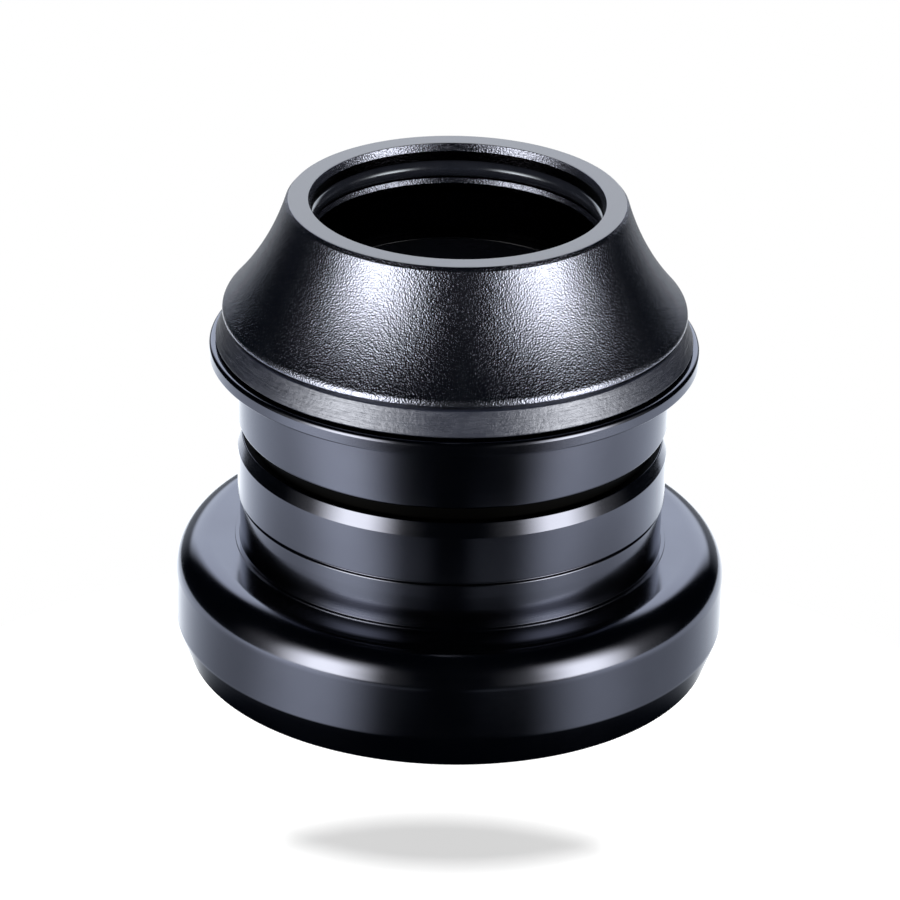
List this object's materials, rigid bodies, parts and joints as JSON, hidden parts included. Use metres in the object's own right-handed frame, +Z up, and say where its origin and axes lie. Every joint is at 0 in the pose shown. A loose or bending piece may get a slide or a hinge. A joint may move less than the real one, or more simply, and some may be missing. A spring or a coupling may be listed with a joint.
{
  "type": "bicycle headset",
  "caption": "Black bicycle headset with a flared top cover, press-in upper cup and wide external lower cup, stacked, with sealed bearings that let a tapered steerer turn.",
  "frame": {"origin": "on the steering axis at the underside of the crown race, where the fork crown would be", "axes": "+Z up the steering axis, from the fork crown to the stem; X and Y are free, and the compression ring's slot faces -Y"},
  "size_m": [0.0568, 0.0568, 0.0505],
  "materials": {
    "blasted_black": "bead-blasted black anodised",
    "gloss_black": "gloss black anodised",
    "ring_black": "satin black anodised",
    "seal_rubber": "matte moulded rubber",
    "o_ring_rubber": "smooth moulded rubber",
    "bearing_steel": "ground",
    "ball_steel": "polished",
    "cage_nylon": "moulded"
  },
  "bodies": {
    "cups": {"lower_cup": "gloss_black", "upper_cup": "gloss_black", "upper_outer_race": "bearing_steel", "lower_outer_race": "bearing_steel", "upper_bearing_top_seal": "seal_rubber", "upper_bearing_bottom_seal": "seal_rubber", "lower_bearing_top_seal": "seal_rubber", "lower_bearing_bottom_seal": "seal_rubber"},
    "upper_steering": {"top_cover": "blasted_black", "steerer_o_ring": "o_ring_rubber", "cover_dust_seal": "seal_rubber", "compression_ring": "ring_black", "upper_inner_race": "bearing_steel"},
    "upper_ball_set": {"upper_balls": "ball_steel", "upper_ball_cage": "cage_nylon"},
    "lower_steering": {"crown_race": "ring_black", "crown_race_seal": "seal_rubber", "lower_inner_race": "bearing_steel"},
    "lower_ball_set": {"lower_balls": "ball_steel", "lower_ball_cage": "cage_nylon"}
  },
  "joints": [
    {"name": "upper_spin", "type": "hinge", "parent": "cups", "child": "upper_steering", "pos_m": [0, 0, 0.0309], "axis": [0, 0, 1], "continuous": true},
    {"name": "upper_cage_spin", "type": "hinge", "parent": "cups", "child": "upper_ball_set", "pos_m": [0, 0, 0.0309], "axis": [0, 0, 1], "continuous": true},
    {"name": "lower_spin", "type": "hinge", "parent": "cups", "child": "lower_steering", "pos_m": [0, 0, 0.0064], "axis": [0, 0, 1], "continuous": true},
    {"name": "lower_cage_spin", "type": "hinge", "parent": "cups", "child": "lower_ball_set", "pos_m": [0, 0, 0.0064], "axis": [0, 0, 1], "continuous": true}
  ],
  "couplings": [
    {"joint": "upper_cage_spin", "follows": "upper_spin", "ratio": 0.46895},
    {"joint": "lower_cage_spin", "follows": "lower_spin", "ratio": 0.4756}
  ]
}
